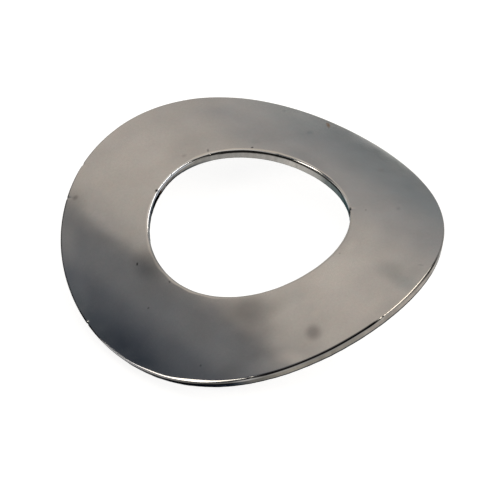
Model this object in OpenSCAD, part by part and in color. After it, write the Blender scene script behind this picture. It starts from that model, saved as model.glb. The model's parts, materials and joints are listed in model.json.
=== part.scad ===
// Curved spring washer: one piece of spring steel strip, blanked flat as a ring and then
// bent over a single cylinder, so that it stands on two opposite ends with its crown up.
// Millimetres. +Z is up along the bolt, X is the direction of the bend and Y runs along the
// crown. The origin is on the resting plane, under the middle of the bolt hole.

/* [Ring] */
// Outside diameter of the blank, measured along the curve
outer_d = 16.2; // [13:0.1:20]
// Diameter of the bolt hole
bore_d = 8.4; // [5:0.1:9.5]
// Thickness of the strip
strip_t = 0.45; // [0.4:0.05:0.8]

/* [Curve] */
// Free height, from the resting plane to the top of the crown
free_h = 2.35; // [1.5:0.05:3.4]

/* [Edges] */
// Width of the soft roll that the cut draws along the upper edges
roll_w = 0.22; // [0.1:0.02:0.3]
// Depth of that roll
roll_h = 0.1; // [0.06:0.01:0.14]
// Radius left on the lower outer edge after tumbling
burr_r = 0.04; // [0.02:0.01:0.06]

/* [Hidden] */

steel = [0.62, 0.60, 0.58];
outline_steps = 180;
roll_steps = 5;
burr_steps = 2;
arc_facets = 360;

outer_r = outer_d / 2;
bore_r = bore_d / 2;
half_t = strip_t / 2;
// The edge tools stand this far clear of both faces of the strip
overcut = 0.05;
// The tool that rolls the hole's edge starts this far inside the bore
lap = 0.02;
// The strip runs this far past the blank on both sides
strip_spare = 1;
// The ends of a swept solid close on points this far above and below the strip
tip_h = 2 * free_h;
// Direction of the bore's seam, between the crown and the ends
seam_turn = 52;

// Points of a rounded edge as [inset from the wall, height above the middle of the strip],
// from the wall up to the face, as a quarter of an ellipse. The last chord runs on past the
// face by the overcut.
function rounded_edge(w, h, steps) =
    let (
        arc = [for (i = [0 : steps]) [w - w * cos(90 * i / steps), half_t - h + h * sin(90 * i / steps)]],
        last = arc[steps] - arc[steps - 1]
    )
    [for (i = [0 : steps - 1]) arc[i], arc[steps] + last * overcut / last.y];

function upside_down(points) =
    [for (i = [len(points) - 1 : -1 : 0]) [points[i].x, -points[i].y]];

// Section of the blank's outer edge as [radius, height], from the lower face to the upper one
outer_section = [
    for (p = concat(upside_down(rounded_edge(burr_r, burr_r, burr_steps)), rounded_edge(roll_w, roll_h, roll_steps)))
        [outer_r - p.x, p.y]
];

// Section of the hole's rolled upper edge, which opens upwards out of the bore
mouth_section = [for (p = rounded_edge(roll_w, roll_h, roll_steps)) [bore_r - lap + p.x, p.y]];

// Bend: a point of the flat blank goes round the bend axis, with its height square to the strip.
// The middle of the strip keeps its length.
function bent(p, radius) =
    let (turn = p.x / radius * 180 / PI)
    [(radius + p.z) * sin(turn), p.y, (radius + p.z) * cos(turn) - radius];

// Points of the outer edge that may touch the work: those inside the strip, and the lower face's rim
foot_points = concat([[outer_r - burr_r, -half_t]], [for (s = outer_section) if (abs(s.y) <= half_t) s]);

// Drop from the middle of the crown to the lowest point of the ends, at a given bend radius
function drop(radius) = -min([for (s = foot_points) bent([s.x, 0, s.y], radius).z]);

// Bend radius that gives a drop, found by halving the interval between a tight and a slack bend
slackest_bend = 20 * outer_r;
halvings = 40;
function radius_for(wanted, tight = outer_r / 2, slack = slackest_bend, turns = halvings) =
    let (middle = (tight + slack) / 2)
    turns == 0 ? middle
    : drop(middle) > wanted ? radius_for(wanted, middle, slack, turns - 1)
    : radius_for(wanted, tight, middle, turns - 1);

crown_z = free_h - half_t;
bend_r = radius_for(crown_z);

// Closed solid swept by a section round the blank's centre, carried through the bend.
// Its two ends close on a point far above the strip and on one below it.
module bent_sweep(section) {
    rings = len(section);
    steps = outline_steps;
    points = concat(
        [for (s = section) for (i = [0 : steps - 1])
            let (a = 360 * i / steps)
            bent([s.x * cos(a), s.x * sin(a), s.y], bend_r)],
        [[0, 0, -tip_h], [0, 0, tip_h]]
    );
    side = [
        for (j = [0 : rings - 2]) for (i = [0 : steps - 1])
            let (
                k = (i + 1) % steps,
                low = j * steps,
                high = low + steps
            )
            each [[low + i, high + i, high + k], [low + i, high + k, low + k]]
    ];
    under = [for (i = [0 : steps - 1]) [rings * steps, i, (i + 1) % steps]];
    over = [for (i = [0 : steps - 1])
        [rings * steps + 1, (rings - 1) * steps + (i + 1) % steps, (rings - 1) * steps + i]];
    polyhedron(points, concat(side, under, over));
}

// The strip bent round the axis that runs along Y, long and wide enough for the blank
module bent_strip() {
    translate([0, 0, -bend_r])
        rotate([90, 0, 0])
            linear_extrude(height = outer_d + 2 * strip_spare, center = true)
                difference() {
                    circle(r = bend_r + half_t, $fn = arc_facets);
                    circle(r = bend_r - half_t, $fn = arc_facets);
                }
}

module bolt_hole() {
    rotate([0, 0, seam_turn])
        cylinder(r = bore_r, h = 2 * tip_h, center = true, $fn = arc_facets);
}

module spring_washer() {
    color(steel)
        translate([0, 0, crown_z])
            difference() {
                intersection() {
                    bent_strip();
                    bent_sweep(outer_section);
                }
                bent_sweep(mouth_section);
                bolt_hole();
            }
}

spring_washer();
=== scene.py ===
import json
import math

import bpy
import numpy as np
from mathutils import Matrix, Vector


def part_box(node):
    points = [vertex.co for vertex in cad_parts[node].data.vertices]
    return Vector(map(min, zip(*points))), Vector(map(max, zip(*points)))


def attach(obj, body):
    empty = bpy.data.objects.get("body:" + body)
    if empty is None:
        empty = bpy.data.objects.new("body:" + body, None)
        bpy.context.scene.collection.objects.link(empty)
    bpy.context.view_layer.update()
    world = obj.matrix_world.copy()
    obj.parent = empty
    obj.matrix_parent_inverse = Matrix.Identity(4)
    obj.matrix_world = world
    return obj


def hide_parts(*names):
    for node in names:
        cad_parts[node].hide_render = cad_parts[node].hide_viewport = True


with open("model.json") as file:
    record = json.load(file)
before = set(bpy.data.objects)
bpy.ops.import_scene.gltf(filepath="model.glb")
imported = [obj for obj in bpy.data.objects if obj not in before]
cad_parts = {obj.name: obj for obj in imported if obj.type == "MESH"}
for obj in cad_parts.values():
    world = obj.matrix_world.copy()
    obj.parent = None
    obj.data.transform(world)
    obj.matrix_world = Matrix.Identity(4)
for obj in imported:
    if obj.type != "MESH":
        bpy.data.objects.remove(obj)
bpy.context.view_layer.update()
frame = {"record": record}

NODE = "spring_washer"
MM = 0.001

# ---- sizes, in metres -------------------------------------------------------------------
_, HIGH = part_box(NODE)
OUTER_R = HIGH.y
FREE_H = HIGH.z
HOLE_R = frame["record"]["mounts"][0]["dims"]["r_mm"] * MM
STRIP_T = 0.45 * MM
HALF_T = STRIP_T / 2
# The rolled upper edges are this wide and high, and the outer lower edge has a small radius.
HOLE_ROLL_W = 0.14 * MM
OUTER_ROLL_W = 0.15 * MM
ROLL_H = 0.10 * MM
BURR_R = 0.04 * MM
# Share of its full width that each roll has, by the angle round the ring in degrees.
OUTER_ROLL_SHARE = [
    (-178, 0.65),
    (-165, 0.85),
    (-150, 1),
    (-142, 1),
    (-132, 0.6),
    (-75, 0.6),
    (-60, 0.45),
    (-28, 0.30),
    (28, 0.30),
    (60, 0.45),
    (110, 0.45),
    (160, 0.6),
]
HOLE_ROLL_SHARE = [
    (-60, 1),
    (-48, 0.65),
    (-41, 0.5),
    (-24, 0.45),
    (-10, 0.55),
    (3, 0.75),
    (13, 0.85),
    (30, 1),
    (76, 1),
    (86, 0.65),
    (130, 0.65),
    (150, 1),
]
# How much wider the hole is at its lower edge in mm, where the last of the wall broke away.
BREAKOUT = [
    (-60, 0.02),
    (50, 0.025),
    (70, 0.05),
    (92, 0.09),
    (110, 0.045),
    (140, 0.04),
    (180, 0.02),
]
# How far the middle of the hole is from the middle of the blank.
HOLE_RUN_OUT = (-0.05 * MM, 0.03 * MM)
# Unevenness of the two edges: the waves in one turn, their size in mm, and where one is highest.
# They are rounded from least-squares fits to the photo's two outlines, apart from the outer
# edge's first row, which is given.
HOLE_LOBES = [(0, -0.025, 0), (2, 0.028, -48), (3, 0.032, -41)]
OUTER_LOBES = [(0, -0.006, 0), (1, 0.016, -123), (3, 0.018, -32), (4, 0.013, 25)]
# Random waves round the ring: the seed, and the fewest and most waves in one turn.
ROLL_W_WAVES = (11, 2, 30)
ROLL_H_WAVES = (12, 2, 30)
RIPPLE_WAVES = (13, 20, 110)
PATCH_WAVES = (14, 8, 120)
# Typical size of those waves, as a share of the roll's width, of its height and of the wall's
# brightness, and in metres for the ripple of the cut wall.
ROLL_W_UNEVEN = 0.10
ROLL_H_UNEVEN = 0.08
WALL_PATCHY = 0.06
RIPPLE = 0.002 * MM
# Waves in the face: height in mm, then radians per mm along X and along Y, and the start.
FACE_WAVES = [
    (0.0016, 1.3, 0.6, 0.5),
    (0.0012, -0.7, 1.5, 2.1),
    (0.0006, 2.9, -1.1, 4.0),
]
CROWN_Z = FREE_H - HALF_T

# ---- grid of the mesh -------------------------------------------------------------------
STEPS_ROUND = 1440
STEPS_ROLL = 10
STEPS_BURR = 3
STEPS_WALL = 8
STEPS_TOP = 18
STEPS_UNDER = 8


# ---- shape ------------------------------------------------------------------------------
# Range and number of halvings of the search for the bend radius.
TIGHTEST = OUTER_R / 2
SLACKEST = 20 * OUTER_R
HALVINGS = 60


def bend_radius():
    """Bend radius at the middle of the strip that stands the washer at its free height."""
    turn = np.linspace(0, math.pi / 2, STEPS_BURR + 1)
    radius = OUTER_R - BURR_R * (1 - np.cos(turn))
    height = -HALF_T + BURR_R * (1 - np.sin(turn))
    tight, slack = TIGHTEST, SLACKEST
    for _ in range(HALVINGS):
        middle = (tight + slack) / 2
        drop = middle - ((middle + height) * np.cos(radius / middle)).min()
        tight, slack = (middle, slack) if drop > CROWN_Z else (tight, middle)
    return (tight + slack) / 2


BEND_R = bend_radius()


def by_angle(stops, degrees):
    """A colour or a plain value at each angle, from stops round the ring."""
    turns = [stop[0] for stop in stops]
    values = np.array([np.atleast_1d(stop[1]) for stop in stops], float)
    channels = [np.interp(degrees, turns, channel, period=360) for channel in values.T]
    return np.stack(channels, -1)[:, None, :]


def wander(angle, seed, slowest, fastest):
    """A smooth random wave round the ring, with a typical size of 1."""
    rng = np.random.default_rng(seed)
    total = np.zeros_like(angle)
    for count in range(slowest, fastest + 1):
        size, start = rng.normal() / math.sqrt(count), rng.uniform(0, 2 * math.pi)
        total += size * np.cos(count * angle + start)
    return total / total.std()


def rounded(width, height, steps):
    """An elliptical edge from wall to face: inset from the wall, drop from the face, steepness."""
    lean = np.linspace(math.pi / 2, 0, steps + 1)
    turn = np.arctan2(height * np.cos(lean), width * np.sin(lean))
    return width * (1 - np.cos(turn)), height * (1 - np.sin(turn)), np.sin(lean) + 0 * turn


def section(angle):
    """The ring's closed section at each angle.

    It runs up the hole's wall, over the top, down the outer wall and back underneath. Each point
    has its radius, its height, how far it is cut wall and how steep it is on a roll.
    """
    around, degrees = angle[:, None], np.degrees(angle)
    uneven = 1 + ROLL_W_UNEVEN * wander(around, *ROLL_W_WAVES)
    roll_h = ROLL_H * (1 + ROLL_H_UNEVEN * wander(around, *ROLL_H_WAVES))
    hole_w = HOLE_ROLL_W * uneven * by_angle(HOLE_ROLL_SHARE, degrees)[:, 0]
    hole_in, hole_down, hole_steep = rounded(hole_w, roll_h, STEPS_ROLL)
    breakout = MM * by_angle(BREAKOUT, degrees)[:, 0]
    outer_w = OUTER_ROLL_W * uneven * by_angle(OUTER_ROLL_SHARE, degrees)[:, 0]
    outer_in, outer_down, outer_steep = rounded(outer_w, roll_h, STEPS_ROLL)
    burr_in, burr_down, _ = rounded(BURR_R + 0 * around, BURR_R + 0 * around, STEPS_BURR)
    up = np.linspace(0, 1, STEPS_WALL + 1)[None, :-1]
    hole_h = -HALF_T + up * (STRIP_T - roll_h)
    across = 0.5 - 0.5 * np.cos(np.linspace(0, math.pi, STEPS_TOP + 1)[None, 1:-1])
    top_r = (HOLE_R + hole_w) * (1 - across) + (OUTER_R - outer_w) * across
    down = np.linspace(0, 1, STEPS_WALL + 1)[None, 1:-1]
    outer_h = HALF_T - roll_h - down * (STRIP_T - roll_h - BURR_R)
    back = np.linspace(0, 1, STEPS_UNDER + 1)[None, 1:-1]
    under_r = OUTER_R - BURR_R - back * (OUTER_R - BURR_R - HOLE_R)
    full = np.ones_like(around)
    stretches = [
        (HOLE_R + breakout * (1 - up), hole_h, 1, 1),
        (HOLE_R + hole_in, HALF_T - hole_down, 0, hole_steep),
        (top_r, HALF_T * full, 0, 0),
        (OUTER_R - outer_in[:, ::-1], HALF_T - outer_down[:, ::-1], 0, outer_steep[:, ::-1]),
        (OUTER_R * full, outer_h, 1, 1),
        (OUTER_R - burr_in, -HALF_T + burr_down, 1, 1),
        (under_r, -HALF_T * full, 0, 0),
    ]
    columns = [np.broadcast_arrays(*stretch) for stretch in stretches]
    return [np.hstack([column[k] for column in columns]) for k in range(4)]


def bent(x, y, h):
    """A point of the flat blank carried round the bend, standing on the table."""
    turn = x / BEND_R
    return (BEND_R + h) * np.sin(turn), y, (BEND_R + h) * np.cos(turn) - BEND_R + CROWN_Z


def waves(x, y):
    """The slight unevenness of a bent and tumbled strip."""
    a, b = x / MM, y / MM
    return MM * sum(
        size * np.sin(by_x * a + by_y * b + start) for size, by_x, by_y, start in FACE_WAVES
    )


# Nicks in the upper edges: the edge's radius, the angle round the ring in degrees, and the
# half-length and depth in mm. Their places were picked in the photo and turned into angles
# with the fitted camera.
NICKS = [
    (HOLE_R, 112.0, 0.05, 0.010),
    (HOLE_R, 96.0, 0.03, 0.015),
    (HOLE_R, 29.0, 0.16, 0.012),
    (HOLE_R, -39.0, 0.07, 0.030),
    (HOLE_R, 68.0, 0.04, 0.010),
    (OUTER_R, 165.6, 0.05, 0.030),
    (OUTER_R, 120.3, 0.05, 0.020),
    (OUTER_R, 107.7, 0.08, 0.030),
    (OUTER_R, -92.7, 0.05, 0.010),
    (OUTER_R, -134.7, 0.10, 0.010),
]
# How far from the edge a nick's dent fades out.
NICK_REACH = 0.12 * MM


def nicked(angle, radius, height):
    """Presses each nick into the edge, down and away from the open side."""
    for edge_r, place, half_length, depth in NICKS:
        gap = (angle[:, None] - math.radians(place) + math.pi) % (2 * math.pi) - math.pi
        along = gap * edge_r / (half_length * MM)
        away = np.hypot(radius - edge_r, height - (HALF_T - ROLL_H)) / NICK_REACH
        push = depth * MM * np.exp(-along ** 2 - away ** 2)
        inward = 1 if edge_r == HOLE_R else -1
        radius = radius + inward * push
        height = height - push
    return radius, height


def lobed(angle, lobes):
    """How far an edge stands out of round at each angle."""
    rounds = [
        size * MM * np.cos(count * (angle - math.radians(top))) for count, size, top in lobes
    ]
    return np.sum(rounds, 0)[:, None]


def ring_faces(count):
    """Four-sided faces between neighbouring sections of so many points, closed both ways."""
    ring = np.arange(STEPS_ROUND)[:, None] * count
    along = np.arange(count)[None, :]
    next_ring = (ring + count) % (STEPS_ROUND * count)
    next_along = (along + 1) % count
    corners = [ring + along, ring + next_along, next_ring + next_along, next_ring + along]
    return np.stack(corners, -1).reshape(-1, 4)


def washer_mesh():
    """The washer, with its place on the flat blank, its tint and its cut wall as attributes."""
    angle = np.arange(STEPS_ROUND) * 2 * math.pi / STEPS_ROUND
    radius, height, cut, steep = section(angle)
    radius, height = nicked(angle, radius, height)
    ripple = RIPPLE * wander(angle, *RIPPLE_WAVES)[:, None]
    radius = radius + cut * ripple
    inner = ((OUTER_R - radius) / (OUTER_R - HOLE_R)).clip(0, 1)
    radius = radius + inner * lobed(angle, HOLE_LOBES) + (1 - inner) * lobed(angle, OUTER_LOBES)
    x = np.cos(angle)[:, None] * radius + inner * HOLE_RUN_OUT[0]
    y = np.sin(angle)[:, None] * radius + inner * HOLE_RUN_OUT[1]
    places = np.stack(bent(x, y, height + waves(x, y)), -1).reshape(-1, 3)
    faces = ring_faces(radius.shape[1])
    mesh = bpy.data.meshes.new("washer_steel")
    mesh.from_pydata(places.tolist(), [], faces.tolist())
    mesh.polygons.foreach_set("use_smooth", np.ones(len(faces), bool))
    flat = np.stack([x, y, height], -1).reshape(-1) / MM
    blank = mesh.attributes.new("blank_mm", "FLOAT_VECTOR", "POINT")
    blank.data.foreach_set("vector", flat.astype(np.float32))
    # The tint holds the edges' painted highlights, reflections and shade, with the walls' own tone.
    tint = mesh.attributes.new("tint", "FLOAT_COLOR", "POINT")
    tint.data.foreach_set("color", edge_tint(angle, radius, height, cut, steep).ravel())
    cut_wall = mesh.attributes.new("cut", "FLOAT", "POINT")
    cut_wall.data.foreach_set("value", cut.ravel().astype(np.float32))
    mesh.update()
    return mesh


# ---- tints of the edges, with painted highlights, reflections and shade -----------------
# Share of the steel's colour that the edges keep, by the angle round the ring in degrees. Partly
# this is the cut walls' own darker tone and a rust stain on the hole's wall near 110 degrees, and
# partly painted light: darker stretches are painted reflections of the dim room and painted shade,
# and a share over 1 is a painted highlight, brighter than the face.
OUTER_WALL = [
    (-178, (0.12, 0.14, 0.17)),
    (-150, (0.09, 0.115, 0.15)),
    (-141, (0.09, 0.11, 0.14)),
    (-134, (0.30, 0.30, 0.29)),
    (-120, (0.41, 0.395, 0.36)),
    (-104, (0.47, 0.45, 0.41)),
    (-96, (0.60, 0.56, 0.52)),
    (-78, (0.70, 0.66, 0.62)),
    (-68, (0.72, 0.70, 0.67)),
    (-55, (0.60, 0.60, 0.60)),
    (60, (0.30, 0.30, 0.30)),
    (170, (0.10, 0.11, 0.12)),
]
OUTER_ROLL = [
    (175.5, (1.8, 1.72, 1.64)),
    (-170, (1.5, 1.45, 1.4)),
    (-158, (1.2, 1.2, 1.2)),
    (-150, (1, 1, 1)),
    (-138, (1, 1, 1)),
    (-131, (0.36, 0.36, 0.36)),
    (-114, (0.40, 0.40, 0.40)),
    (-97, (0.50, 0.50, 0.50)),
    (-93, (1.2, 1.15, 1.1)),
    (-78, (1.2, 1.15, 1.1)),
    (-70, (0.70, 0.70, 0.70)),
    (-55, (0.70, 0.68, 0.66)),
    (-30, (0.45, 0.45, 0.43)),
    (30, (0.45, 0.45, 0.43)),
    (60, (0.75, 0.72, 0.68)),
    (85, (0.40, 0.40, 0.40)),
    (110, (0.15, 0.16, 0.18)),
    (172, (0.12, 0.13, 0.15)),
]
HOLE_WALL = [
    (-60, (0.25, 0.28, 0.29)),
    (-36, (0.20, 0.25, 0.26)),
    (-22, (0.28, 0.33, 0.34)),
    (-8, (0.30, 0.34, 0.34)),
    (0, (0.60, 0.60, 0.58)),
    (10, (0.90, 0.88, 0.84)),
    (18, (0.85, 0.82, 0.77)),
    (26, (0.62, 0.61, 0.59)),
    (45, (0.56, 0.55, 0.53)),
    (70, (0.48, 0.475, 0.46)),
    (85, (0.50, 0.49, 0.47)),
    (106, (0.42, 0.41, 0.40)),
    # From here to 115 degrees the hole's wall is brown to black: a rust stain.
    (108.5, (0.13, 0.08, 0.04)),
    (111, (0.05, 0.045, 0.04)),
    (115, (0.04, 0.04, 0.04)),
    (119, (0.22, 0.24, 0.25)),
    (135, (0.30, 0.32, 0.33)),
    (180, (0.40, 0.40, 0.39)),
]
HOLE_ROLL = [
    (-60, (0.80, 0.80, 0.80)),
    (-36, (0.90, 0.90, 0.90)),
    (-24, (1.05, 1.05, 1.05)),
    (-10, (1.2, 1.19, 1.17)),
    (0, (1.2, 1.18, 1.15)),
    (4, (1.6, 1.6, 1.6)),
    (14, (1.6, 1.6, 1.6)),
    (18, (1.2, 1.18, 1.14)),
    (75, (1.25, 1.22, 1.17)),
    (85, (1.6, 1.6, 1.6)),
    (128, (1.6, 1.6, 1.6)),
    (140, (1.1, 1.1, 1.1)),
    (180, (1, 1, 1)),
]
# Further share that is left where a roll is steep enough to catch a lamp: painted shade that dims
# and narrows the lamp's highlight there. GLINT_STEEP says between which steepnesses that comes in.
OUTER_GLINT = [
    (-110, (1, 1, 1)),
    (-97, (1, 1, 1)),
    (-93, (0.80, 0.80, 0.80)),
    (-85, (0.65, 0.65, 0.65)),
    (-78, (0.44, 0.43, 0.43)),
    (-72, (0.28, 0.28, 0.28)),
    (-66, (0.24, 0.24, 0.24)),
    (-60, (1, 1, 1)),
]
HOLE_GLINT = [
    (-60, (1, 1, 1)),
    (78, (1, 1, 1)),
    (86, (0.62, 0.67, 0.75)),
    (128, (0.54, 0.58, 0.65)),
    (145, (1, 1, 1)),
]
GLINT_STEEP = (0.38, 0.55)
# A painted dark line along each edge, by the same angle: a painted reflection of the dark room in
# the rolled edge. Its strength, and how far below the face it starts and ends in mm.
OUTER_PAINTED_DARK_LINE = [
    (-178, (0.82, 0.038, 0.17)),
    (-160, (0.82, 0.036, 0.18)),
    (-148, (0.86, 0.045, 0.18)),
    (-141, (0.80, 0.045, 0.18)),
    (-136, (0.25, 0.030, 0.10)),
    (-133, (0.30, 0.014, 0.060)),
    (-130, (0.88, 0.014, 0.060)),
    (-112, (0.90, 0.012, 0.065)),
    (-100, (0.93, 0.012, 0.070)),
    (-95.5, (1, 0.012, 0.080)),
    (-92, (0.4, 0.050, 0.100)),
    (-78, (0.4, 0.048, 0.095)),
    (-72, (0.15, 0.030, 0.075)),
    (-66, (0.25, 0.022, 0.070)),
    (-58, (0.60, 0.020, 0.065)),
    (-48, (0.2, 0.020, 0.065)),
    (60, (0.2, 0.020, 0.065)),
    (150, (0.6, 0.030, 0.150)),
    (160, (1, 0.016, 0.150)),
    (172, (1, 0.016, 0.150)),
    (175, (0.90, 0.036, 0.155)),
]
HOLE_PAINTED_DARK_LINE = [
    (-60, (0.5, 0.050, 0.130)),
    (-46, (0.4, 0.040, 0.125)),
    (-41, (0.85, 0.030, 0.125)),
    (-36, (0.20, 0.030, 0.125)),
    (-28, (0.20, 0.060, 0.145)),
    (-20, (0.93, 0.075, 0.165)),
    (-10, (0.93, 0.080, 0.175)),
    (2, (0.93, 0.088, 0.165)),
    (13, (1, 0.075, 0.150)),
    (20, (1, 0.060, 0.165)),
    (36, (1, 0.064, 0.155)),
    (68, (1, 0.068, 0.142)),
    (74, (0.75, 0.060, 0.115)),
    (82, (0.60, 0.050, 0.095)),
    (94, (0.40, 0.048, 0.090)),
    (106, (0.30, 0.048, 0.090)),
    (128, (0.5, 0.055, 0.110)),
    (150, (0.5, 0.060, 0.130)),
]
# How softly the painted dark line starts and ends in mm, and the share of the colour left under it.
PAINTED_LINE_SOFT = 0.011
PAINTED_LINE_SHARE = 0.02
# Between which steepnesses the face's colour turns into the roll's.
ROLL_STEEP = (0.02, 0.25)
# Share left along the lower edges, and between which heights in mm above them that ends.
OUTER_BURR = [(0, (0.10, 0.15, 0.21))]
HOLE_BURR = [
    (66, (1, 1, 1)),
    (80, (0.45, 0.50, 0.55)),
    (150, (0.45, 0.50, 0.55)),
    (180, (0.50, 0.55, 0.60)),
    (200, (1, 1, 1)),
]
OUTER_BURR_HEIGHT = (0.075, 0.115)
HOLE_BURR_HEIGHT = (0.100, 0.150)
TINT_RANGE = (0.01, 2)


def between(value, low, high):
    """How far a value is on the way from low to high, from 0 to 1."""
    return ((value - low) / (high - low)).clip(0, 1)


def edge_tint(angle, radius, height, cut, steep):
    """Colour at each point that the steel's colour is multiplied by, with painted highlights,
    painted reflections and painted shade on the edges.
    """
    degrees = np.degrees(angle)
    outside = (radius > (HOLE_R + OUTER_R) / 2)[:, :, None]
    patchy = 1 + WALL_PATCHY * wander(angle, *PATCH_WAVES)[:, None, None]

    def here(outer_stops, hole_stops):
        """The stops of the edge that each point is nearer to."""
        return np.where(outside, by_angle(outer_stops, degrees), by_angle(hole_stops, degrees))

    wall = here(OUTER_WALL, HOLE_WALL) * patchy
    glint = here(OUTER_GLINT, HOLE_GLINT)
    roll = here(OUTER_ROLL, HOLE_ROLL)
    roll = roll * (1 - between(steep, *GLINT_STEEP)[:, :, None] * (1 - glint))
    rolled = between(steep, *ROLL_STEEP)[:, :, None]
    tint = np.where(cut[:, :, None] > 0, wall, 1 + rolled * (roll - 1))
    # The painted dark line: a painted reflection of the dark room along each rolled edge.
    strength, start, end = np.moveaxis(here(OUTER_PAINTED_DARK_LINE, HOLE_PAINTED_DARK_LINE), -1, 0)
    below = (HALF_T - height) / MM
    painted_line = between(below, start - PAINTED_LINE_SOFT, start) * strength
    painted_line = painted_line * (1 - between(below, end, end + PAINTED_LINE_SOFT))
    tint = tint * (1 - (1 - PAINTED_LINE_SHARE) * painted_line)[:, :, None]
    above = ((height + HALF_T) / MM)[:, :, None]
    clear = np.where(outside, between(above, *OUTER_BURR_HEIGHT), between(above, *HOLE_BURR_HEIGHT))
    burr = cut[:, :, None] * (1 - clear)
    tint = tint * (1 - burr * (1 - here(OUTER_BURR, HOLE_BURR)))
    full = np.ones(radius.shape + (4,), np.float32)
    full[:, :, :3] = tint.clip(*TINT_RANGE)
    return full


# ---- materials --------------------------------------------------------------------------
STEEL = (0.50, 0.49, 0.48)
RUST = (0.42, 0.20, 0.07)
WARM_STEEL = (1.02, 1.0, 0.975)
COOL_STEEL = (0.975, 1.0, 1.02)
ROSY_STEEL = (1.010, 0.995, 1.000)
GREEN_STEEL = (0.990, 1.005, 1.000)
# Noises: features per mm, detail, and the values at the two ends of the noise's usual span.
NOISE_SPAN = (0.3, 0.7)
BROAD_MOTTLE = (0.9, 3.0, 0.965, 1.035)
FINE_MOTTLE = (9.0, 2.0, 0.978, 1.022)
FACE_ROUGH = (1.4, 3.0, 0.12, 0.16)
WALL_ROUGH = (14.0, 2.0, 0.26, 0.42)
WALL_GRAIN = (1, 1, 0.1)
HUE_SCALE = 1.7
SPECKLE_SCALE = 6.5
SPECKLE_DETAIL = 1.0
SPECKLE_SPAN = (0.35, 0.65)

# Marks on the top face, in mm of the flat blank: x, y, half-length, half-width, turn in degrees,
# and the share of the colour that is left in the middle. A share over 1 is a brighter patch. The
# first table is painted reflections and shade: broad faint darker and lighter patches that stand
# in for near objects reflected in the polished face.
PAINTED_REFLECTIONS = [
    (-3.45, -3.50, 1.50, 1.05, -50, (0.59, 0.59, 0.60)),
    (-3.95, -4.50, 1.15, 0.95, 80, (0.77, 0.77, 0.78)),
    (-2.80, -6.40, 1.40, 0.90, 20, (0.93, 0.93, 0.93)),
    (-5.10, -3.60, 1.40, 0.80, 70, (1.07, 1.07, 1.07)),
    (-6.00, -4.90, 0.90, 0.60, -40, (0.88, 0.88, 0.88)),
    (-2.60, -4.35, 1.20, 0.55, 0, (0.92, 0.92, 0.92)),
    (-8.00, -0.40, 3.10, 1.95, 90, (0.53, 0.56, 0.62)),
    (-4.30, 1.50, 1.25, 0.95, 70, (0.64, 0.65, 0.66)),
    (-5.20, 0.40, 1.70, 0.75, 90, (0.93, 0.93, 0.93)),
    (-4.60, -6.30, 1.60, 0.80, -50, (1.45, 1.42, 1.38)),
    (-5.70, 5.60, 1.90, 1.00, 45, (1.28, 1.25, 1.22)),
    (-3.95, 6.70, 1.00, 0.60, 90, (0.90, 0.90, 0.90)),
    (-4.10, 4.60, 1.50, 0.55, 85, (1.10, 1.10, 1.11)),
    (-4.00, -2.35, 0.80, 0.55, -60, (0.84, 0.84, 0.86)),
    (6.70, 4.80, 4.20, 2.60, -58, (1.43, 1.37, 1.31)),
    (3.90, 6.70, 1.60, 0.90, -30, (1.10, 1.08, 1.05)),
    (6.00, 1.30, 1.60, 1.20, 90, (1.06, 1.04, 1.04)),
    (7.90, -0.90, 1.70, 0.90, 90, (0.82, 0.84, 0.83)),
    (4.20, 1.00, 1.60, 0.80, 90, (0.90, 0.91, 0.92)),
    (6.00, -3.60, 2.20, 1.50, 70, (0.94, 0.955, 0.965)),
    (-7.20, 3.20, 1.40, 0.80, 65, (1.15, 1.15, 1.12)),
    (3.00, -4.00, 1.80, 1.00, 40, (1.07, 1.07, 1.06)),
    (3.60, 3.60, 1.90, 0.95, -45, (0.92, 0.93, 0.94)),
    (-6.60, 3.90, 2.00, 0.90, 60, (1.14, 1.14, 1.14)),
    (0.60, -5.00, 2.40, 1.30, 0, (1.12, 1.12, 1.11)),
    (1.00, 4.80, 2.00, 1.10, 0, (0.93, 0.93, 0.93)),
    (-0.90, 7.40, 2.40, 0.80, 0, (0.93, 0.93, 0.94)),
    (-1.72, -4.62, 0.62, 0.45, 20, (0.95, 0.96, 0.96)),
    (4.30, -6.20, 1.80, 1.10, 40, (0.90, 0.905, 0.91)),
    (2.20, -7.30, 0.75, 0.45, 10, (0.90, 0.91, 0.915)),
    (2.50, -6.80, 1.30, 0.80, -10, (0.93, 0.935, 0.94)),
    (-0.20, -7.90, 1.80, 0.70, 0, (0.91, 0.915, 0.92)),
    (1.60, -4.30, 0.60, 0.35, 20, (1.09, 1.09, 1.09)),
]
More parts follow.
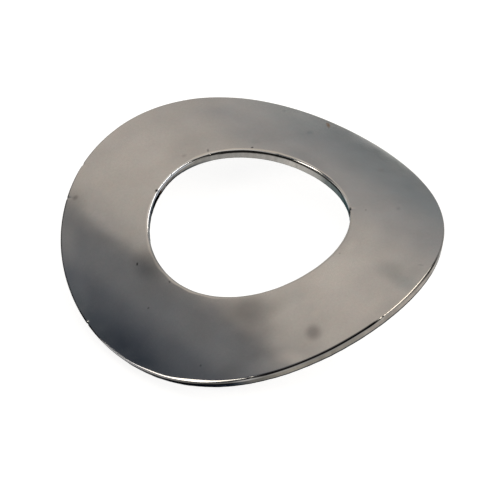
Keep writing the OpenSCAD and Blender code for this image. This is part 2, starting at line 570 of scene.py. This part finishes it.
# Most of these places, and the rust spot's, were picked in the photo and turned into mm of
# the blank with the fitted camera.
STAINS = [
    (-2.66, -6.44, 0.56, 0.46, 60, (0.64, 0.62, 0.63)),
    (-1.95, -5.90, 0.35, 0.25, 0, (1.05, 1.05, 1.04)),
    (1.70, -6.50, 0.95, 0.75, 90, (0.85, 0.87, 0.875)),
    (1.58, -7.40, 0.90, 0.60, 100, (0.83, 0.865, 0.885)),
    (0.64, 4.64, 0.17, 0.14, 0, (0.84, 0.84, 0.84)),
    (3.42, 3.22, 0.36, 0.25, -40, (0.93, 0.94, 0.94)),
    (1.56, 4.15, 0.16, 0.07, 50, (0.55, 0.55, 0.55)),
    (3.07, 3.02, 0.09, 0.07, 0, (0.15, 0.15, 0.15)),
    (-4.62, 1.99, 0.11, 0.06, 40, (0.12, 0.12, 0.12)),
    (-5.82, 0.12, 0.08, 0.06, 0, (0.55, 0.55, 0.55)),
    (-4.43, 0.21, 0.09, 0.06, 60, (0.45, 0.45, 0.45)),
    (-6.45, -3.60, 0.08, 0.07, 0, (0.65, 0.65, 0.65)),
    (-3.85, 6.66, 0.20, 0.17, 0, (0.66, 0.65, 0.65)),
    (5.94, 2.40, 0.28, 0.20, 20, (0.84, 0.88, 0.90)),
    (4.89, -3.87, 0.20, 0.14, 30, (0.86, 0.87, 0.88)),
    (6.50, -1.36, 0.25, 0.20, 0, (0.94, 0.92, 0.90)),
    (2.83, -7.11, 0.18, 0.06, -50, (0.80, 0.80, 0.80)),
    (3.71, -3.12, 0.08, 0.05, 30, (0.70, 0.70, 0.70)),
    (6.26, 4.30, 0.14, 0.12, 0, (0.86, 0.87, 0.88)),
    (-1.50, 4.05, 0.12, 0.10, 20, (0.05, 0.05, 0.05)),
    (0.98, -4.32, 0.07, 0.05, 0, (0.70, 0.70, 0.70)),
    (3.26, -2.65, 0.17, 0.09, 51, (0.10, 0.12, 0.13)),
]
RUST_SPOT = (7.21, 2.50, 0.36, 0.13, 52)
RUST_SCALE = 6.0
RUST_STRENGTH = 1.3
# A spot fades in from its rim to this share of its size, at any height of the washer.
SPOT_CORE = 0.15
SPOT_HEIGHT = 100


def add(nt, kind, **settings):
    """A new node in a node tree, with its settings."""
    made = nt.nodes.new(kind)
    for name, value in settings.items():
        setattr(made, name, value)
    return made


def feed(nt, socket, value):
    """Links a socket to another one, or sets it to a plain value."""
    if isinstance(value, bpy.types.NodeSocket):
        nt.links.new(value, socket)
    else:
        socket.default_value = value


def calc(nt, operation, *values):
    """A sum, product or other operation on sockets and plain values."""
    made = add(nt, "ShaderNodeMath", operation=operation)
    for socket, value in zip(made.inputs, values):
        feed(nt, socket, value)
    return made.outputs[0]


def remap(nt, value, low, high, to_low, to_high, smooth=False):
    """A value moved from one range to another, and kept inside it."""
    made = add(nt, "ShaderNodeMapRange")
    made.interpolation_type = "SMOOTHSTEP" if smooth else "LINEAR"
    feed(nt, made.inputs["Value"], value)
    names = ("From Min", "From Max", "To Min", "To Max")
    for name, number in zip(names, (low, high, to_low, to_high)):
        made.inputs[name].default_value = number
    return made.outputs["Result"]


def mixed(nt, blend, share, first, second):
    """Two colours blended, with the share of the second."""
    made = add(nt, "ShaderNodeMix", data_type="RGBA", blend_type=blend)
    feed(nt, made.inputs["Factor"], share)
    feed(nt, made.inputs["A"], first)
    feed(nt, made.inputs["B"], second)
    return made.outputs["Result"]


def noise(nt, place, scale, detail=2.0, stretch=(1, 1, 1)):
    """A smooth random value, mostly between the ends of NOISE_SPAN."""
    fitted = add(nt, "ShaderNodeMapping")
    feed(nt, fitted.inputs["Vector"], place)
    fitted.inputs["Scale"].default_value = stretch
    made = add(nt, "ShaderNodeTexNoise")
    feed(nt, made.inputs["Vector"], fitted.outputs[0])
    made.inputs["Scale"].default_value = scale
    made.inputs["Detail"].default_value = detail
    return made.outputs["Fac"]


def mottle(nt, place, scale, detail, low, high, stretch=(1, 1, 1)):
    """A noise that runs from low to high."""
    return remap(nt, noise(nt, place, scale, detail, stretch), *NOISE_SPAN, low, high)


def spot(nt, place, x, y, half_length, half_width, turn):
    """How far each point is inside a soft spot, from 0 at its rim to 1 in its middle."""
    fitted = add(nt, "ShaderNodeMapping", vector_type="TEXTURE")
    feed(nt, fitted.inputs["Vector"], place)
    fitted.inputs["Location"].default_value = (x, y, 0)
    fitted.inputs["Rotation"].default_value = (0, 0, math.radians(turn))
    fitted.inputs["Scale"].default_value = (half_length, half_width, SPOT_HEIGHT)
    length = add(nt, "ShaderNodeVectorMath", operation="LENGTH")
    feed(nt, length.inputs[0], fitted.outputs[0])
    return remap(nt, length.outputs["Value"], 1.0, SPOT_CORE, 0, 1, smooth=True)


def steel_colour(nt, place):
    """Polished steel with faint mottling, stains, a rust spot, painted reflections on the face and
    the tint of the cut edges, which holds painted highlights, reflections and shade.
    """
    level = mottle(nt, place, *BROAD_MOTTLE)
    level = calc(nt, "MULTIPLY", level, mottle(nt, place, *FINE_MOTTLE))
    hue = mixed(nt, "MIX", noise(nt, place, HUE_SCALE), (*WARM_STEEL, 1), (*COOL_STEEL, 1))
    speckle = noise(nt, place, SPECKLE_SCALE, SPECKLE_DETAIL)
    speckle = remap(nt, speckle, *SPECKLE_SPAN, 0, 1)
    speckle = mixed(nt, "MIX", speckle, (*ROSY_STEEL, 1), (*GREEN_STEEL, 1))
    hue = mixed(nt, "MULTIPLY", 1.0, hue, speckle)
    colour = mixed(nt, "MULTIPLY", 1.0, hue, (*STEEL, 1))
    brightness = add(nt, "ShaderNodeCombineColor")
    for socket in brightness.inputs:
        feed(nt, socket, level)
    colour = mixed(nt, "MULTIPLY", 1.0, colour, brightness.outputs[0])
    # The first patches are painted reflections and shade; the stains are marks on the steel.
    for x, y, half_length, half_width, turn, left in PAINTED_REFLECTIONS + STAINS:
        inside = spot(nt, place, x, y, half_length, half_width, turn)
        colour = mixed(nt, "MULTIPLY", inside, colour, (*left, 1))
    rusty = calc(nt, "MULTIPLY", spot(nt, place, *RUST_SPOT), noise(nt, place, RUST_SCALE))
    colour = mixed(nt, "MIX", calc(nt, "MULTIPLY", rusty, RUST_STRENGTH), colour, (*RUST, 1))
    # The tint attribute holds the edges' painted highlights, reflections and shade.
    tint = add(nt, "ShaderNodeAttribute", attribute_name="tint").outputs["Color"]
    return mixed(nt, "MULTIPLY", 1.0, colour, tint), tint


def steel_material():
    """The steel, polished on its faces and duller where it was cut."""
    mat = bpy.data.materials.new("polished_spring_steel")
    mat.use_nodes = True
    nt = mat.node_tree
    shader = nt.nodes["Principled BSDF"]
    place = add(nt, "ShaderNodeAttribute", attribute_name="blank_mm").outputs["Vector"]
    cut = add(nt, "ShaderNodeAttribute", attribute_name="cut").outputs["Fac"]
    shader.inputs["Metallic"].default_value = 1.0
    colour, tint = steel_colour(nt, place)
    feed(nt, shader.inputs["Base Color"], colour)
    feed(nt, shader.inputs["Specular Tint"], tint)
    face_rough = mottle(nt, place, *FACE_ROUGH)
    wall_rough = mottle(nt, place, *WALL_ROUGH, WALL_GRAIN)
    rougher = calc(nt, "MULTIPLY", cut, calc(nt, "SUBTRACT", wall_rough, face_rough))
    feed(nt, shader.inputs["Roughness"], calc(nt, "ADD", face_rough, rougher))
    return mat


# The paper is grey to the light that falls on it, and glows up to white where it is seen.
FLOOR_COLOUR = (0.45, 0.45, 0.45)
FLOOR_GLOW = 0.82


def floor_material():
    """White paper that shows as white, and still takes the washer's shadow."""
    mat = bpy.data.materials.new("white_table")
    mat.use_nodes = True
    nt = mat.node_tree
    nt.nodes.clear()
    out = add(nt, "ShaderNodeOutputMaterial")
    paper = add(nt, "ShaderNodeBsdfDiffuse")
    paper.inputs["Color"].default_value = (*FLOOR_COLOUR, 1)
    path = add(nt, "ShaderNodeLightPath")
    seen = calc(nt, "MAXIMUM", path.outputs["Is Camera Ray"], path.outputs["Is Glossy Ray"])
    seen = calc(nt, "MAXIMUM", seen, path.outputs["Is Transmission Ray"])
    glow = add(nt, "ShaderNodeEmission")
    feed(nt, glow.inputs["Strength"], calc(nt, "MULTIPLY", seen, FLOOR_GLOW))
    both = add(nt, "ShaderNodeAddShader")
    nt.links.new(paper.outputs[0], both.inputs[0])
    nt.links.new(glow.outputs[0], both.inputs[1])
    nt.links.new(both.outputs[0], out.inputs["Surface"])
    return mat


# ---- studio -----------------------------------------------------------------------------
# Light of the room behind the washer, by the angle from straight up towards +X in degrees.
ROOM = [
    (-90, (0.12, 0.13, 0.14)),
    (-26, (0.08, 0.095, 0.115)),
    (-17, (0.145, 0.155, 0.175)),
    (-11, (0.245, 0.25, 0.26)),
    (-1.5, (0.235, 0.235, 0.24)),
    (2.5, (0.60, 0.555, 0.51)),
    (12, (0.72, 0.66, 0.595)),
    (28, (0.78, 0.71, 0.64)),
    (46, (0.67, 0.62, 0.57)),
    (64, (0.50, 0.485, 0.475)),
    (78, (0.33, 0.35, 0.36)),
    (90, (0.24, 0.255, 0.26)),
]
# Light of the room's back wall, and the Y of the directions where it starts and is reached.
BACK_WALL = (0.72, 0.67, 0.60)
BACK_EDGE = (0.66, 0.90)
# What the camera itself sees beyond the table.
BACKDROP = (1, 1, 1)
# The Y of the directions between which the front turns into the room behind the washer.
FRONT_EDGE = (-0.45, 0.10)
# Light in front and overhead, by the height of the direction.
FRONT = [
    (0.0, 0.03),
    (0.60, 0.04),
    (0.78, 0.10),
    (0.90, 0.80),
    (1.0, 1.10),
]


def colour_ramp(nt, value, stops, interpolation):
    """A colour for each value from 0 to 1, from stops along the way."""
    ramp = add(nt, "ShaderNodeValToRGB")
    feed(nt, ramp.inputs["Fac"], value)
    ramp.color_ramp.interpolation = interpolation
    while len(ramp.color_ramp.elements) < len(stops):
        ramp.color_ramp.elements.new(0.5)
    for element, (position, colour) in zip(ramp.color_ramp.elements, stops):
        element.position = position
        element.color = (*colour, 1)
    return ramp.outputs["Color"]


def studio_world():
    """The dim room that the steel reflects, which the camera itself sees as white."""
    world = bpy.data.worlds.new("studio")
    bpy.context.scene.world = world
    world.use_nodes = True
    nt = world.node_tree
    nt.nodes.clear()
    out = add(nt, "ShaderNodeOutputWorld")
    back = add(nt, "ShaderNodeBackground")
    way = add(nt, "ShaderNodeTexCoord").outputs["Generated"]
    split = add(nt, "ShaderNodeSeparateXYZ")
    feed(nt, split.inputs[0], way)
    x, y, z = split.outputs
    turn = remap(nt, calc(nt, "ARCTAN2", x, z), -math.pi / 2, math.pi / 2, 0, 1)
    room = colour_ramp(nt, turn, [((a + 90) / 180, c) for a, c in ROOM], "EASE")
    low_back = remap(nt, y, *BACK_EDGE, 0, 1, smooth=True)
    room = mixed(nt, "MIX", low_back, room, (*BACK_WALL, 1))
    front = colour_ramp(nt, z, [(h, (v, v, v)) for h, v in FRONT], "LINEAR")
    behind = remap(nt, y, *FRONT_EDGE, 0, 1, smooth=True)
    lit = mixed(nt, "MIX", behind, front, room)
    seen = add(nt, "ShaderNodeLightPath").outputs["Is Camera Ray"]
    feed(nt, back.inputs["Color"], mixed(nt, "MIX", seen, lit, (*BACKDROP, 1)))
    nt.links.new(back.outputs[0], out.inputs["Surface"])


# Lamps: name, direction from the washer, width and height in metres, and brightness.
LAMPS = [
    ("lamp_left", (-0.70, 0.28, 0.62), 0.105, 0.11, 3.4),
    ("lamp_right", (0.68, -0.50, 0.50), 0.23, 0.07, 6.0),
]
LAMP_DISTANCE = 0.22
LAMP_COLOUR = (1, 0.93, 0.83)


def soft_box(name, direction, width, height, radiance):
    """An upright lamp that faces the washer, given the brightness of its front."""
    light = bpy.data.lights.new(name, "AREA")
    light.shape = "RECTANGLE"
    light.size = width
    light.size_y = height
    light.energy = radiance * math.pi * width * height
    light.color = LAMP_COLOUR
    lamp = bpy.data.objects.new(name, light)
    bpy.context.scene.collection.objects.link(lamp)
    away = Vector(direction).normalized()
    lamp.location = away * LAMP_DISTANCE
    lamp.rotation_euler = away.to_track_quat("Z", "Y").to_euler()


TABLE_HALF = 1.2


def table():
    """The white paper that the washer lies on."""
    corners = [(-1, -1), (1, -1), (1, 1), (-1, 1)]
    mesh = bpy.data.meshes.new("table")
    mesh.from_pydata([(TABLE_HALF * x, TABLE_HALF * y, 0) for x, y in corners], [], [(0, 1, 2, 3)])
    mesh.materials.append(floor_material())
    floor = bpy.data.objects.new("table", mesh)
    bpy.context.scene.collection.objects.link(floor)


# ---- camera -----------------------------------------------------------------------------
# Where the camera stands as seen from the crown, and how it is turned and zoomed. A
# least-squares fit to the photo's two outlines gave these values.
VIEW_AZIMUTH = math.radians(-39.43)
VIEW_ELEVATION = math.radians(45.84)
VIEW_DISTANCE = 14.83 * OUTER_R
VIEW_LENS = 207.7
VIEW_ROLL = math.radians(6.65)
NEAREST_SEEN = 0.005
# How far the middle of the picture is from the crown.
AIM_RIGHT = 0.021 * MM
AIM_DOWN = 1.271 * MM


def camera():
    """The photo's view of the washer."""
    away = Vector((
        math.sin(VIEW_AZIMUTH) * math.cos(VIEW_ELEVATION),
        -math.cos(VIEW_AZIMUTH) * math.cos(VIEW_ELEVATION),
        math.sin(VIEW_ELEVATION),
    ))
    level_right = Vector((0, 0, 1)).cross(away).normalized()
    level_up = away.cross(level_right)
    right = math.cos(VIEW_ROLL) * level_right - math.sin(VIEW_ROLL) * level_up
    up = math.sin(VIEW_ROLL) * level_right + math.cos(VIEW_ROLL) * level_up
    crown = Vector((0, 0, CROWN_Z))
    place = crown + away * VIEW_DISTANCE
    back = (place - (crown + right * AIM_RIGHT - up * AIM_DOWN)).normalized()
    right = up.cross(back).normalized()
    up = back.cross(right)
    data = bpy.data.cameras.new("camera")
    data.lens = VIEW_LENS
    data.clip_start = NEAREST_SEEN
    cam = bpy.data.objects.new("camera", data)
    cam.matrix_world = Matrix((
        (right.x, up.x, back.x, place.x),
        (right.y, up.y, back.y, place.y),
        (right.z, up.z, back.z, place.z),
        (0, 0, 0, 1),
    ))
    bpy.context.scene.collection.objects.link(cam)
    bpy.context.scene.camera = cam


def washer():
    """The one piece of the object, which stands for its CAD node."""
    mesh = washer_mesh()
    mesh.materials.append(steel_material())
    piece = bpy.data.objects.new("washer", mesh)
    bpy.context.scene.collection.objects.link(piece)
    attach(piece, "root")
    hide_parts(NODE)


washer()
table()
studio_world()
for lamp_settings in LAMPS:
    soft_box(*lamp_settings)
camera()
bpy.context.scene.view_settings.view_transform = "Standard"
